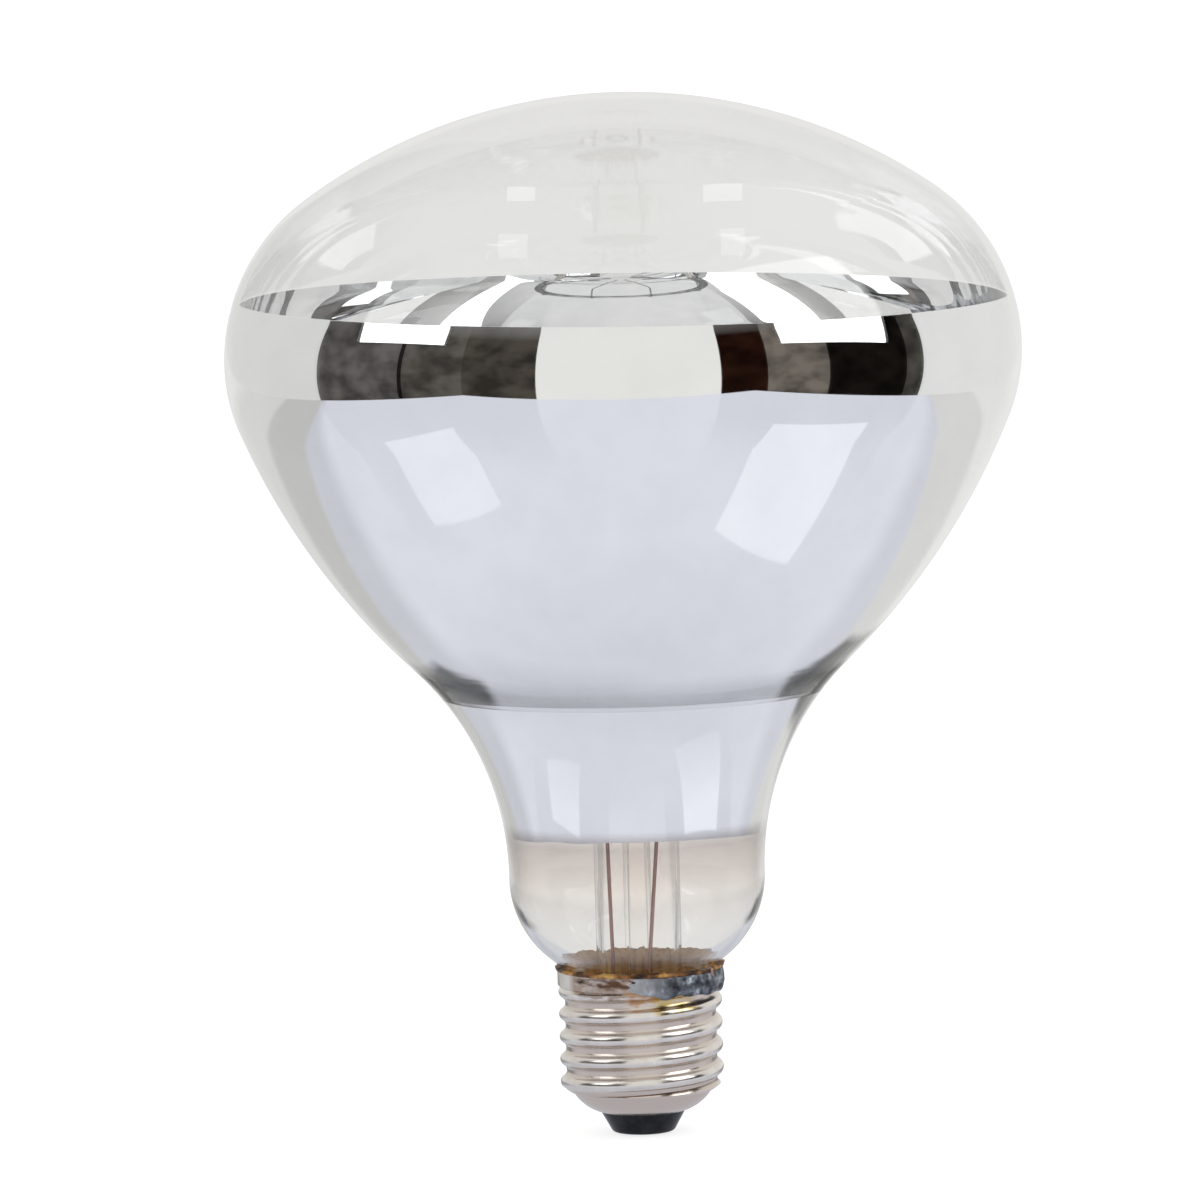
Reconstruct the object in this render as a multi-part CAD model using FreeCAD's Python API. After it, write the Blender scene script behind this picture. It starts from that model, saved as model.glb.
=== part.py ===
import FreeCAD
import Part

import math
import os

# Infrared reflector heat lamp: a blown glass bulb with a silvered reflector, a glass mount that
# carries the filament, and a 27 mm Edison screw cap. Millimetres, the lamp's axis on Z, the face of
# the centre contact on Z = 0 and the crown of the bulb at the top. Front is -Y.

# Blown bulb, measured on its outside
bulb_diameter = 127.0
crown_radius = 87.0             # the clear face
upper_rim_radius = 31.5         # from the face round to the widest point
lower_rim_radius = 28.0         # from the widest point down to the reflector
lower_rim_turn = 22.5           # degrees turned by that lower arc
reflector_radius = 113.0
neck_flare_radius = 47.0        # the hollow curve between reflector and neck
neck_diameter = 41.0
neck_straight = 0.5
shoulder_turn = 51.5            # degrees the neck turns in towards the cap
shoulder_slant = 2.45           # radius lost on the straight slope from there to the cap's rim
glass_wall = 0.95

# Sealed end of the bulb, hidden in the cap
seal_room = 1.3                 # between the sealed end and the cap's wall
seal_length = 5.0
rim_gap = 1.05                  # between the glass and the cap's wall, at the cap's rim

# Silvering inside the bulb
silver_film = 0.15
silver_gap = 0.05               # clearance between the film and the glass
silver_start = 22.7             # its lower edge, above the cap's rim
silver_end = 9.1                # its upper edge, above the bulb's widest point

# Glass stem: a flared tube with a flat press on top
flare_width = 2.6               # how far the flare opens from the tube to the sealed end
flare_bend = 4.0
flare_edge = 1.2                # height of the band fused to the bulb
stem_wall = 1.1
stem_length = 37.5              # from the sealed end up to the press
press_blend = 6.0               # height over which the round tube becomes the flat press
press_height = 8.0
press_width = 16.0
press_thickness = 4.8
press_round = 1.2
exhaust_diameter = 4.4
exhaust_wall = 0.8
exhaust_reach = 6.5             # how far its tip hangs below the sealed end

# Button rod on the press
rod_diameter = 3.6
rod_length = 16.0
button_diameter = 8.4
button_height = 5.2

# Filament, its supports and the leads
filament_rise = 26.0            # above the press
filament_ring_radius = 15.0
filament_gap_turn = 80.0        # degrees of the ring left open, at the back
coil_diameter = 1.7
support_count = 4
support_diameter = 0.5
support_depth = 2.4             # how far a support reaches into the button
support_bend = 1.2
hook_clearance = 0.1
lead_inset = 1.7                # of the two leads from the stem's bore, in the press
inner_lead_diameter = 0.9
inner_lead_rise = 5.0           # straight run above the press
inner_lead_tail = 2.2           # tip of the lead inside the filament's end
seal_wire_diameter = 0.7
outer_lead_diameter = 0.6
outer_lead_drop = 2.0           # straight run below the press
lead_bend = 2.0
rim_bend = 0.45                 # tight bend of the side lead over the cap's rim
lead_clearance = 0.02           # between the side lead and the outside of the cap
bend_share = 0.45               # most of a run that one bend may take

# Screw cap: a rolled round thread of 7 turns to the inch
cap_height = 26.6
cap_wall = 0.35
collar_proud = 0.1              # how far the plain collar stands beyond the thread's crests
collar_length = 2.3
thread_diameter = 26.2          # over the crests
thread_depth = 1.05
thread_pitch = 25.4 / 7.0
groove_floor = 0.24             # plain band left between two turns
groove_lift = 0.05              # how far that band stands above the thread's root
crest_at_right = 10.4           # height of a crest on the +X side
runout_bottom = 6.6             # the thread fades out between these two heights
runout_top = 8.3
dish_radius = 7.0               # the rounded bottom of the cap
lip_diameter = 13.6             # the hole in the cap's bottom
lip_height = 3.6
cap_seam = 90.0                 # degrees round the axis; the plain form's seam, clear of the thread's ends

# Black glass insulator and the contact in its foot
insulator_foot_diameter = 9.8
insulator_foot_round = 0.8
insulator_depth = 2.7           # from the lip up to its edge inside the cap
insulator_dish = 1.2            # how far its top falls towards the hole
insulator_hole_diameter = 2.4
contact_diameter = 6.6
contact_proud = 0.2             # how far the contact stands below the insulator
contact_thickness = 0.9
eyelet_diameter = 2.0
contact_solder_height = 1.6

# Cement in the collar and the solder over the side lead
cement_depth = 4.8              # how far the cement reaches below the cap's rim
cement_bead = 0.55              # how far the cement stands above the cap's rim
solder_thickness = 0.45
solder_drop = 3.1               # the smear's lower edge, below the cap's rim
solder_start = -94.0            # degrees round the axis, 0 on the right and -90 at the front
solder_end = 8.0
side_lead_turn = -32.0          # where the side lead crosses the rim, in the same degrees

# Route of the two outer leads inside the stem: distance from its bore, and degrees round the axis
centre_lead_top = (1.1, 185.0)  # at the silvering's lower edge
centre_lead_low = (1.5, 191.0)  # at the cap's rim
side_lead_top = (1.8, -31.0)
side_lead_low = (2.0, -66.0)

vector = FreeCAD.Vector
axis = vector(0, 0, 1)
centre = vector(0, 0, 0)


def at(radius, height):
    return vector(radius, 0, height)


def polar(radius, turn, height):
    angle = math.radians(turn)
    return vector(radius * math.cos(angle), radius * math.sin(angle), height)


def line(a, b):
    return Part.LineSegment(a, b).toShape()


def arc(middle, radius, start, end):
    """An arc in the XZ plane about a (radius, height) point; angles in radians from +X to +Z."""
    points = []
    for share in (0.0, 0.5, 1.0):
        angle = start + (end - start) * share
        points.append(at(middle[0] + radius * math.cos(angle), middle[1] + radius * math.sin(angle)))
    return Part.Arc(*points).toShape()


def turned(edges, degrees=360.0):
    """The solid that a closed outline in the XZ plane sweeps round the axis."""
    face = Part.Face(Part.Wire(Part.__sortEdges__(edges)))
    return face.revolve(centre, axis, degrees)


def polygon(points):
    corners = [at(*p) for p in points]
    return [line(a, b) for a, b in zip(corners, corners[1:] + corners[:1])]


def rod(start, end, diameter):
    run = end - start
    return Part.makeCylinder(diameter / 2, run.Length, start, run)


def bent_wire(points, diameter, bend):
    """A round wire through the points, each corner rounded by up to the given radius."""
    edges = []
    last = points[0]
    for before, corner, after in zip(points, points[1:], points[2:]):
        into = (corner - before).normalize()
        out = (after - corner).normalize()
        turn = into.getAngle(out)
        room = bend_share * min((corner - before).Length, (after - corner).Length)
        reach = min(bend * math.tan(turn / 2), room)
        start = corner - into * reach
        end = corner + out * reach
        radius = reach / math.tan(turn / 2)
        inward = (out - into).normalize()
        middle = corner + inward * (radius / math.cos(turn / 2) - radius)
        edges += [line(last, start), Part.Arc(start, middle, end).toShape()]
        last = end
    edges.append(line(last, points[-1]))
    path = Part.Wire(edges)
    start_run = (points[1] - points[0]).normalize()
    section = Part.Wire(Part.makeCircle(diameter / 2, points[0], start_run))
    return path.makePipeShell([section], True, False)


# The cap's radii, and the rounded bottom that runs out of the thread's root
crest_radius = thread_diameter / 2
root_radius = crest_radius - thread_depth
collar_radius = crest_radius + collar_proud
collar_bottom = cap_height - collar_length
lip_radius = lip_diameter / 2
dish_r = root_radius - dish_radius
dish_z = lip_height + math.sqrt(dish_radius ** 2 - (lip_radius - dish_r) ** 2)

# The bulb's arcs, worked upwards from where the glass enters the cap
bulb_radius = bulb_diameter / 2
neck_radius = neck_diameter / 2
rim_turn = math.radians(lower_rim_turn)
shoulder_angle = math.radians(shoulder_turn)
shoulder_slope = math.tan(shoulder_angle)
glass_at_rim = collar_radius - cap_wall - rim_gap
shoulder_end_r = glass_at_rim + shoulder_slant
shoulder_end_z = cap_height + shoulder_slant / shoulder_slope
shoulder_radius = (neck_radius - shoulder_end_r) / (1 - math.cos(shoulder_angle))
shoulder_z = shoulder_end_z + shoulder_radius * math.sin(shoulder_angle)
flare_z = shoulder_z + neck_straight
lower_rim_r = bulb_radius - lower_rim_radius
reflector_r = lower_rim_r + (lower_rim_radius - reflector_radius) * math.cos(rim_turn)
slope_turn = math.acos((neck_radius + neck_flare_radius - reflector_r)
                       / (reflector_radius + neck_flare_radius))
reflector_z = flare_z + (neck_flare_radius + reflector_radius) * math.sin(slope_turn)
widest_z = reflector_z + (lower_rim_radius - reflector_radius) * math.sin(rim_turn)
upper_rim_r = bulb_radius - upper_rim_radius
crown_z = widest_z - math.sqrt((crown_radius - upper_rim_radius) ** 2 - upper_rim_r ** 2)
crown_turn = math.atan2(widest_z - crown_z, upper_rim_r)
apex_z = crown_z + crown_radius
seal_radius = root_radius - cap_wall - seal_room
seal_top = cap_height - (glass_at_rim - seal_radius) / shoulder_slope
seal_bottom = seal_top - seal_length
silver_bottom = cap_height + silver_start
silver_top = widest_z + silver_end

# The mount inside the bulb, worked upwards from the sealed end
stem_radius = seal_radius - glass_wall - flare_width
stem_bore = stem_radius - stem_wall
press_bottom = seal_bottom + stem_length
press_top = press_bottom + press_blend + press_height
rod_top = press_top + rod_length
filament_height = press_top + filament_rise
exhaust_tip = seal_bottom - exhaust_reach
lead_x = stem_bore - lead_inset
solder_bottom = cap_height - solder_drop


def glass_radius(height):
    """The outside of the glass where it slopes into the cap."""
    return glass_at_rim + (height - cap_height) * shoulder_slope


def bulb_outline(depth):
    """The bulb's section from its crown to its sealed end, at a depth below the outer surface."""
    wall_r = seal_radius - depth
    slope_r = shoulder_end_r - depth * math.cos(shoulder_angle)
    slope_z = shoulder_end_z + depth * math.sin(shoulder_angle)
    corner_z = slope_z - (slope_r - wall_r) / shoulder_slope
    neck_r = neck_radius - depth
    return [
        arc((0, crown_z), crown_radius - depth, math.pi / 2, crown_turn),
        arc((upper_rim_r, widest_z), upper_rim_radius - depth, crown_turn, 0),
        arc((lower_rim_r, widest_z), lower_rim_radius - depth, 0, -rim_turn),
        arc((reflector_r, reflector_z), reflector_radius - depth, -rim_turn, -slope_turn),
        arc((neck_radius + neck_flare_radius, flare_z), neck_flare_radius + depth,
            math.pi - slope_turn, math.pi),
        line(at(neck_r, flare_z), at(neck_r, shoulder_z)),
        arc((neck_radius - shoulder_radius, shoulder_z), shoulder_radius - depth, 0, -shoulder_angle),
        line(at(slope_r, slope_z), at(wall_r, corner_z)),
        line(at(wall_r, corner_z), at(wall_r, seal_bottom)),
    ]


def layer(outer_depth, inner_depth):
    """The wall between two depths below the bulb's outer surface."""
    crown = line(at(0, apex_z - inner_depth), at(0, apex_z - outer_depth))
    end = line(at(seal_radius - outer_depth, seal_bottom), at(seal_radius - inner_depth, seal_bottom))
    return turned(bulb_outline(outer_depth) + [end] + bulb_outline(inner_depth) + [crown])


def glass_envelope():
    return layer(0, glass_wall)


def reflector_coating():
    outside = glass_wall + silver_gap
    film = layer(outside, outside + silver_film)
    band = Part.makeCylinder(bulb_radius, silver_top - silver_bottom, at(0, silver_bottom))
    return film.common(band)


def press_outline(height):
    """The flat press's section: a rectangle with rounded corners."""
    x = press_width / 2
    y = press_thickness / 2
    box = Part.makePolygon([vector(-x, -y, height), vector(x, -y, height), vector(x, y, height),
                            vector(-x, y, height), vector(-x, -y, height)])
    block = Part.Face(box).extrude(vector(0, 0, 1))
    upright = [e for e in block.Edges if abs(e.tangentAt(e.FirstParameter).z) > 0.9]
    rounded = block.makeFillet(press_round, upright)
    foot = min(rounded.Faces, key=lambda f: f.CenterOfMass.z)
    return foot.OuterWire


def glass_stem(wires):
    """Flared tube and press in one piece; the wires fused into the press leave their holes."""
    edge_r = seal_radius - glass_wall
    bend_turn = math.acos(max(0.0, 1 - (edge_r - stem_radius) / flare_bend))
    edge_z = seal_bottom + flare_edge
    bend_z = edge_z + flare_bend * math.sin(bend_turn)
    inner_bend = flare_bend + stem_wall
    middle_r = stem_radius + flare_bend
    mouth_r = middle_r - inner_bend * math.cos(bend_turn)
    mouth_z = bend_z - inner_bend * math.sin(bend_turn)
    tube = turned([
        line(at(edge_r, seal_bottom), at(edge_r, edge_z)),
        arc((middle_r, bend_z), flare_bend, math.pi + bend_turn, math.pi),
        line(at(stem_radius, bend_z), at(stem_radius, press_bottom)),
        line(at(stem_radius, press_bottom), at(stem_bore, press_bottom)),
        line(at(stem_bore, press_bottom), at(stem_bore, bend_z)),
        arc((middle_r, bend_z), inner_bend, math.pi, math.pi + bend_turn),
        line(at(mouth_r, mouth_z), at(mouth_r, seal_bottom)),
        line(at(mouth_r, seal_bottom), at(edge_r, seal_bottom)),
    ])
    ring = Part.Wire(Part.makeCircle(stem_radius, at(0, press_bottom), axis))
    flat = press_outline(press_bottom + press_blend)
    blend = Part.makeLoft([ring, flat], True, True)
    block = Part.Face(flat).extrude(vector(0, 0, press_height))
    stem = tube.fuse([blend, block]).removeSplitter()
    return stem.cut(wires)


def exhaust_tube():
    """Pump stem inside the flared tube, sealed off by a rounded tip in the cap."""
    outer = exhaust_diameter / 2
    inner = outer - exhaust_wall
    tip_z = exhaust_tip + outer
    return turned([
        line(at(inner, press_bottom), at(outer, press_bottom)),
        line(at(outer, press_bottom), at(outer, tip_z)),
        arc((0, tip_z), outer, 0, -math.pi / 2),
        line(at(0, exhaust_tip), at(0, tip_z - inner)),
        arc((0, tip_z), inner, -math.pi / 2, 0),
        line(at(inner, tip_z), at(inner, press_bottom)),
    ])


def button_rod(wires):
    """Glass rod with the button that holds the support wires."""
    r = rod_diameter / 2
    wide = button_diameter / 2
    half = button_height / 2
    button_z = rod_top + half
    flat = wide - half
    neck_z = button_z - math.sqrt(max(half ** 2 - (max(r - flat, 0.0)) ** 2, 0.0))
    neck_turn = -math.acos(max(r - flat, 0.0) / half)
    outline = [
        line(at(0, press_top), at(r, press_top)),
        line(at(r, press_top), at(r, neck_z)),
        arc((flat, button_z), half, neck_turn, math.pi / 2),
        line(at(flat, button_z + half), at(0, button_z + half)),
        line(at(0, button_z + half), at(0, press_top)),
    ]
    return turned(outline).cut(wires)


def support_turns():
    """Where the supports stand, evenly spread along the filament between its two ends."""
    first = 90 + filament_gap_turn / 2
    step = (360 - filament_gap_turn) / (support_count + 1)
    return [first + step * (i + 1) for i in range(support_count)]


def support_wire(turn):
    """A wire from the button out and up, hooked over the filament from its outer side."""
    button_z = rod_top + button_height / 2
    over = coil_diameter / 2 + hook_clearance + support_diameter / 2
    outer_r = filament_ring_radius + over
    top = filament_height + over
    points = [
        polar(button_diameter / 2 - support_depth, turn, button_z),
        polar(outer_r, turn, button_z),
        polar(outer_r, turn, top),
        polar(filament_ring_radius - over, turn, top),
        polar(filament_ring_radius - over, turn, filament_height),
    ]
    return bent_wire(points, support_diameter, support_bend)


def filament_end(side):
    """The middle of the filament's end face and the way the lead points there; side is -1 or 1."""
    turn = 90 - side * filament_gap_turn / 2
    inward = polar(side, turn - 90, 0)
    return polar(filament_ring_radius, turn, filament_height), inward


def filament(leads):
    """The coiled filament's outer form, an open ring that slips over the leads at its ends."""
    middle = at(filament_ring_radius, filament_height)
    section = [Part.makeCircle(coil_diameter / 2, middle, vector(0, 1, 0))]
    ring = turned(section, 360 - filament_gap_turn)
    ring.rotate(centre, axis, 90 + filament_gap_turn / 2)
    return ring.cut(leads)


def inner_lead(side):
    end, inward = filament_end(side)
    tail = end + inward * inner_lead_tail
    entry = end - inward * (2 * lead_bend)
    points = [
        vector(side * lead_x, 0, press_top),
        vector(side * lead_x, 0, press_top + inner_lead_rise),
        entry,
        tail,
    ]
    return bent_wire(points, inner_lead_diameter, lead_bend)


def seal_wire(side):
    return rod(vector(side * lead_x, 0, press_bottom), vector(side * lead_x, 0, press_top), seal_wire_diameter)


def in_stem(place, height):
    """A point inside the stem, from its distance to the bore and its degrees round the axis."""
    inset, turn = place
    return polar(stem_bore - inset, turn, height)


def outer_lead_centre():
    """From the press down the stem and through the insulator to the contact."""
    points = [
        vector(-lead_x, 0, press_bottom),
        vector(-lead_x, 0, press_bottom - outer_lead_drop),
        in_stem(centre_lead_top, silver_bottom),
        in_stem(centre_lead_low, cap_height),
        in_stem(centre_lead_low, exhaust_tip),
        at(0, exhaust_tip - stem_bore),
        at(0, contact_proud),
    ]
    return bent_wire(points, outer_lead_diameter, lead_bend)


def outer_lead_side():
    """From the press down the stem, under the sealed end and up over the cap's rim."""
    half = outer_lead_diameter / 2
    low = seal_bottom - outer_lead_diameter
    up_r = seal_radius + seal_room / 2
    over_r = collar_radius - cap_wall - half / 2
    outside = collar_radius + half + lead_clearance
    points = [
        vector(lead_x, 0, press_bottom),
        vector(lead_x, 0, press_bottom - outer_lead_drop),
        in_stem(side_lead_top, silver_bottom),
        in_stem(side_lead_low, cap_height),
        in_stem(side_lead_low, low),
        polar(up_r, side_lead_turn, low),
        polar(up_r, side_lead_turn, seal_top - outer_lead_diameter),
        polar(over_r, side_lead_turn, cap_height + half),
        polar(outside, side_lead_turn, cap_height + outer_lead_diameter),
        polar(outside, side_lead_turn, (cap_height + solder_bottom) / 2),
    ]
    return bent_wire(points, outer_lead_diameter, rim_bend)


def thread_ridge(inset):
    """The rolled ridge: round crest and flanks swept up the helix, an inset below the outside."""
    half_pitch = thread_pitch / 2
    round_r = (half_pitch ** 2 + thread_depth ** 2) / (4 * thread_depth)
    crest_c = crest_radius - round_r
    root_c = root_radius + round_r
    lean = math.atan2(half_pitch, root_c - crest_c)
    crest_r = round_r - inset
    root_r = round_r + inset
    foot = root_radius - inset - thread_depth / 2
    low = math.asin(groove_floor / 2 / root_r)
    upper = arc((root_c, half_pitch), root_r, math.pi + lean, math.pi + low)
    lower = arc((root_c, -half_pitch), root_r, math.pi - lean, math.pi - low)
    crest = arc((crest_c, 0), crest_r, -lean, lean)
    ends = [e.valueAt(e.LastParameter) for e in (upper, lower)]
    section = Part.Wire(Part.__sortEdges__([
        crest, upper, lower,
        line(ends[0], at(foot, ends[0].z)),
        line(at(foot, ends[0].z), at(foot, ends[1].z)),
        line(at(foot, ends[1].z), ends[1]),
    ]))
    turns_below = math.ceil((crest_at_right - runout_bottom) / thread_pitch) + 1
    start = crest_at_right - turns_below * thread_pitch
    turns = math.ceil((collar_bottom + half_pitch - start) / thread_pitch)
    helix = Part.makeHelix(thread_pitch, turns * thread_pitch, crest_radius)
    ridge = Part.Wire(helix).makePipeShell([section], True, True)
    ridge.translate(vector(0, 0, start))
    return ridge.common(runout(inset))


def runout(inset):
    """The room in which the thread may stand: a cone at the bottom fades it out, the collar ends it."""
    narrow = root_radius - thread_depth
    wide = crest_radius + cap_wall
    slope = (wide - narrow) / (runout_top - runout_bottom)
    rise = inset * math.sqrt(1 + slope ** 2) / slope
    top = (collar_bottom + cap_height) / 2
    return turned(polygon([
        (0, runout_bottom + rise), (narrow, runout_bottom + rise), (wide, runout_top + rise),
        (wide, top), (0, top),
    ]))


def dish_turn(radius, inset):
    """Angle on the cap's rounded bottom, an inset below the outside, at a radius from the axis."""
    return -math.acos((radius - dish_r) / (dish_radius - inset))


def dish_height(radius, inset):
    return dish_z + (dish_radius - inset) * math.sin(dish_turn(radius, inset))


def cap_form(inset):
    """The cap without its thread, an inset below the outside; inset 0 gives the outer form."""
    root = root_radius - inset
    core = root + groove_lift
    collar = collar_radius - inset
    step_z = collar_bottom - (collar - core)
    lip_z = dish_height(lip_radius, inset)
    form = turned([
        line(at(0, lip_z), at(lip_radius, lip_z)),
        arc((dish_r, dish_z), dish_radius - inset, dish_turn(lip_radius, inset), 0),
        line(at(root, dish_z), at(core, dish_z + groove_lift)),
        line(at(core, dish_z + groove_lift), at(core, step_z)),
        line(at(core, step_z), at(collar, collar_bottom)),
        line(at(collar, collar_bottom), at(collar, cap_height)),
        line(at(collar, cap_height), at(0, cap_height)),
        line(at(0, cap_height), at(0, lip_z)),
    ])
    form.rotate(centre, axis, cap_seam)
    return form


def cap_shell():
    outer = cap_form(0).fuse(thread_ridge(0))
    inner = cap_form(cap_wall).fuse(thread_ridge(cap_wall))
    mouth = Part.makeCylinder(lip_radius, dish_z)
    return outer.cut([inner, mouth]).removeSplitter()


def cap_insulator():
    """Black glass cast into the cap's bottom: a foot below the lip and a flange inside."""
    foot_r = insulator_foot_diameter / 2
    hole_r = insulator_hole_diameter / 2
    seat_r = contact_diameter / 2
    inner = dish_radius - cap_wall
    lip_z = dish_height(lip_radius, cap_wall)
    top_z = lip_height + insulator_depth
    top_turn = math.asin((top_z - dish_z) / inner)
    top_r = dish_r + inner * math.cos(top_turn)
    hole_z = top_z - insulator_dish
    foot = turned([
        line(at(seat_r, contact_proud), at(foot_r, contact_proud)),
        line(at(foot_r, contact_proud), at(lip_radius, lip_height)),
        line(at(lip_radius, lip_height), at(lip_radius, lip_z)),
        arc((dish_r, dish_z), inner, dish_turn(lip_radius, cap_wall), top_turn),
        line(at(top_r, top_z), at(hole_r, hole_z)),
        line(at(hole_r, hole_z), at(hole_r, contact_thickness)),
        line(at(hole_r, contact_thickness), at(seat_r, contact_thickness)),
        line(at(seat_r, contact_thickness), at(seat_r, contact_proud)),
    ])
    edge = max((e for e in foot.Edges if e.BoundBox.ZMax < contact_thickness), key=lambda e: e.BoundBox.XMax)
    return foot.makeFillet(insulator_foot_round, [edge])


def centre_contact():
    return turned(polygon([
        (eyelet_diameter / 2, 0), (contact_diameter / 2, 0),
        (contact_diameter / 2, contact_thickness), (eyelet_diameter / 2, contact_thickness),
    ]))


def contact_solder(leads):
    """Solder that fills the eyelet round the centre lead, flush with the contact's face."""
    fill = Part.makeCylinder(eyelet_diameter / 2, contact_solder_height, centre)
    return fill.cut(leads)


def basing_cement(leads):
    """Cement between the sealed glass and the collar, with a bead over the cap's rim."""
    inside = collar_radius - cap_wall
    core = root_radius + groove_lift - cap_wall
    bottom = cap_height - cement_depth
    bead_top = cap_height + cement_bead
    ring = turned(polygon([
        (seal_radius, bottom), (core, bottom), (core, collar_bottom - (inside - core)),
        (inside, collar_bottom), (inside, cap_height), (collar_radius, cap_height),
        (collar_radius, cap_height + cement_bead / 4), (glass_radius(bead_top), bead_top),
        (seal_radius, seal_top),
    ]))
    return ring.cut(leads)


def side_solder(leads):
    """Smear of solder round the collar that ties the side lead to the cap."""
    outside = collar_radius + solder_thickness
    low = at(collar_radius, solder_bottom)
    top = at(collar_radius, cap_height)
    bulge = at(outside, (solder_bottom + cap_height) / 2)
    outline = [line(top, low), Part.Arc(low, bulge, top).toShape()]
    smear = turned(outline, solder_end - solder_start)
    smear.rotate(centre, axis, solder_start)
    return smear.cut(leads)


def build():
    seals = {"left": seal_wire(-1), "right": seal_wire(1)}
    inner_leads = {"left": inner_lead(-1), "right": inner_lead(1)}
    supports = [support_wire(turn) for turn in support_turns()]
    to_contact = outer_lead_centre()
    to_rim = outer_lead_side()
    parts = {
        "glass_envelope": glass_envelope(),
        "reflector_coating": reflector_coating(),
        "glass_stem": glass_stem(list(seals.values())),
        "exhaust_tube": exhaust_tube(),
        "button_rod": button_rod(supports),
        "filament": filament(list(inner_leads.values())),
        "outer_lead_centre": to_contact,
        "outer_lead_side": to_rim,
        "cap_shell": cap_shell(),
        "cap_insulator": cap_insulator(),
        "centre_contact": centre_contact(),
        "contact_solder": contact_solder([to_contact]),
        "basing_cement": basing_cement([to_rim]),
        "side_solder": side_solder([to_rim]),
    }
    for side in ("left", "right"):
        parts["inner_lead_" + side] = inner_leads[side]
        parts["seal_wire_" + side] = seals[side]
    for i, wire in enumerate(supports):
        parts["support_wire_" + str(i + 1)] = wire
    return parts


os.makedirs("parts", exist_ok=True)
for name, shape in build().items():
    shape.exportStep(os.path.join("parts", name + ".step"))
    print(name, len(shape.Solids), shape.isValid(), round(shape.Volume, 1))
print("overall length", round(apex_z, 2), "widest at", round(widest_z, 2))
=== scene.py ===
import math

import bmesh
import bpy
from mathutils import Matrix, Vector, noise


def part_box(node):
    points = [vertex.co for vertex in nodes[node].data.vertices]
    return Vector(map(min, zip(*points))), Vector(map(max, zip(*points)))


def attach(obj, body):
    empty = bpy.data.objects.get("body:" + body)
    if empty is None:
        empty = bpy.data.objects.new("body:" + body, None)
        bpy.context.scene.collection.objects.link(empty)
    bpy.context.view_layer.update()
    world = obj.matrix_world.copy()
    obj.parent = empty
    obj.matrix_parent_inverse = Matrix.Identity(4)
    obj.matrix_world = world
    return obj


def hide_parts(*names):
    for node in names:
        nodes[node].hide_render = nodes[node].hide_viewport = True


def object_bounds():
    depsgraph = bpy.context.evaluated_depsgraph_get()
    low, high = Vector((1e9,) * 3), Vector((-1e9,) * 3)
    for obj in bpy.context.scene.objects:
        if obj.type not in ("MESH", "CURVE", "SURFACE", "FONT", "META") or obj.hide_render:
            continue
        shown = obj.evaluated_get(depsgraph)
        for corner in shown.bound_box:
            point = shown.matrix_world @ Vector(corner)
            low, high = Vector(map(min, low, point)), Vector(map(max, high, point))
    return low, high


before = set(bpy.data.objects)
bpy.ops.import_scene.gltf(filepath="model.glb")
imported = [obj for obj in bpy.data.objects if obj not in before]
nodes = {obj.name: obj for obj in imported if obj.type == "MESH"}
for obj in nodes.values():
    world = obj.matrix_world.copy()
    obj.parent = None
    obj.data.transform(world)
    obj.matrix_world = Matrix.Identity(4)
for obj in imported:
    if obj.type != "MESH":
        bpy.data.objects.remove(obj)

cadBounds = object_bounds()  # the CAD model's box, before any piece is added
mm = 0.001
scene = bpy.context.scene
print("frame:", len(nodes), "nodes")

# heights and radii read from the solids, in mm
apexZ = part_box("glass_envelope")[1].z / mm
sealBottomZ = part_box("glass_envelope")[0].z / mm
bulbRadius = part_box("glass_envelope")[1].x / mm
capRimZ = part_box("cap_shell")[1].z / mm
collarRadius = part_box("cap_shell")[1].x / mm
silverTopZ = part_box("reflector_coating")[1].z / mm
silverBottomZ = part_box("reflector_coating")[0].z / mm


def carryArc(bm, vert, centre, turn, steps):  # a vertex swung round a (radius, height) point, in radians
    made = bmesh.ops.spin(bm, geom=[vert], cent=(centre[0], 0, centre[1]), axis=(0, -1, 0),
                          angle=turn, steps=steps, use_duplicate=False)
    return [g for g in made["geom_last"] if isinstance(g, bmesh.types.BMVert)][0]


def carryRun(bm, vert, radius, height, steps=1):  # a vertex drawn out along a straight run
    start = vert.co.copy()
    end = Vector((radius, 0, height))
    for i in range(steps):
        vert = bmesh.ops.extrude_vert_indiv(bm, verts=[vert])["verts"][0]
        vert.co = start.lerp(end, (i + 1) / steps)
    return vert


def turnRound(bm, steps):  # the outline swept once round the lamp's axis
    bmesh.ops.spin(bm, geom=bm.verts[:] + bm.edges[:], cent=(0, 0, 0), axis=(0, 0, 1),
                   angle=math.tau, steps=steps, use_merge=True, use_duplicate=False)
    bmesh.ops.remove_doubles(bm, verts=bm.verts, dist=0.0005)
    bmesh.ops.recalc_face_normals(bm, faces=bm.faces)


def finishPiece(name, bm, finish, replaced, sharpFrom=40.0):  # bmesh in mm, object in metres
    bmesh.ops.scale(bm, vec=(mm, mm, mm), verts=bm.verts)
    mesh = bpy.data.meshes.new(name)
    bm.to_mesh(mesh)
    bm.free()
    mesh.shade_smooth()
    mesh.set_sharp_from_angle(angle=math.radians(sharpFrom))
    mesh.materials.append(finish)
    return placePiece(bpy.data.objects.new(name, mesh), replaced)


def placePiece(piece, replaced):
    scene.collection.objects.link(piece)
    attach(piece, "root")
    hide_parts(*replaced)
    print("piece:", piece.name)
    return piece


# finishes

def addNode(tree, kind, sockets=None, **settings):
    node = tree.nodes.new(kind)
    for key, value in settings.items():
        setattr(node, key, value)
    for key, value in (sockets or {}).items():
        if isinstance(value, bpy.types.NodeSocket):
            tree.links.new(value, node.inputs[key])
        else:
            node.inputs[key].default_value = value
    return node


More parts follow.
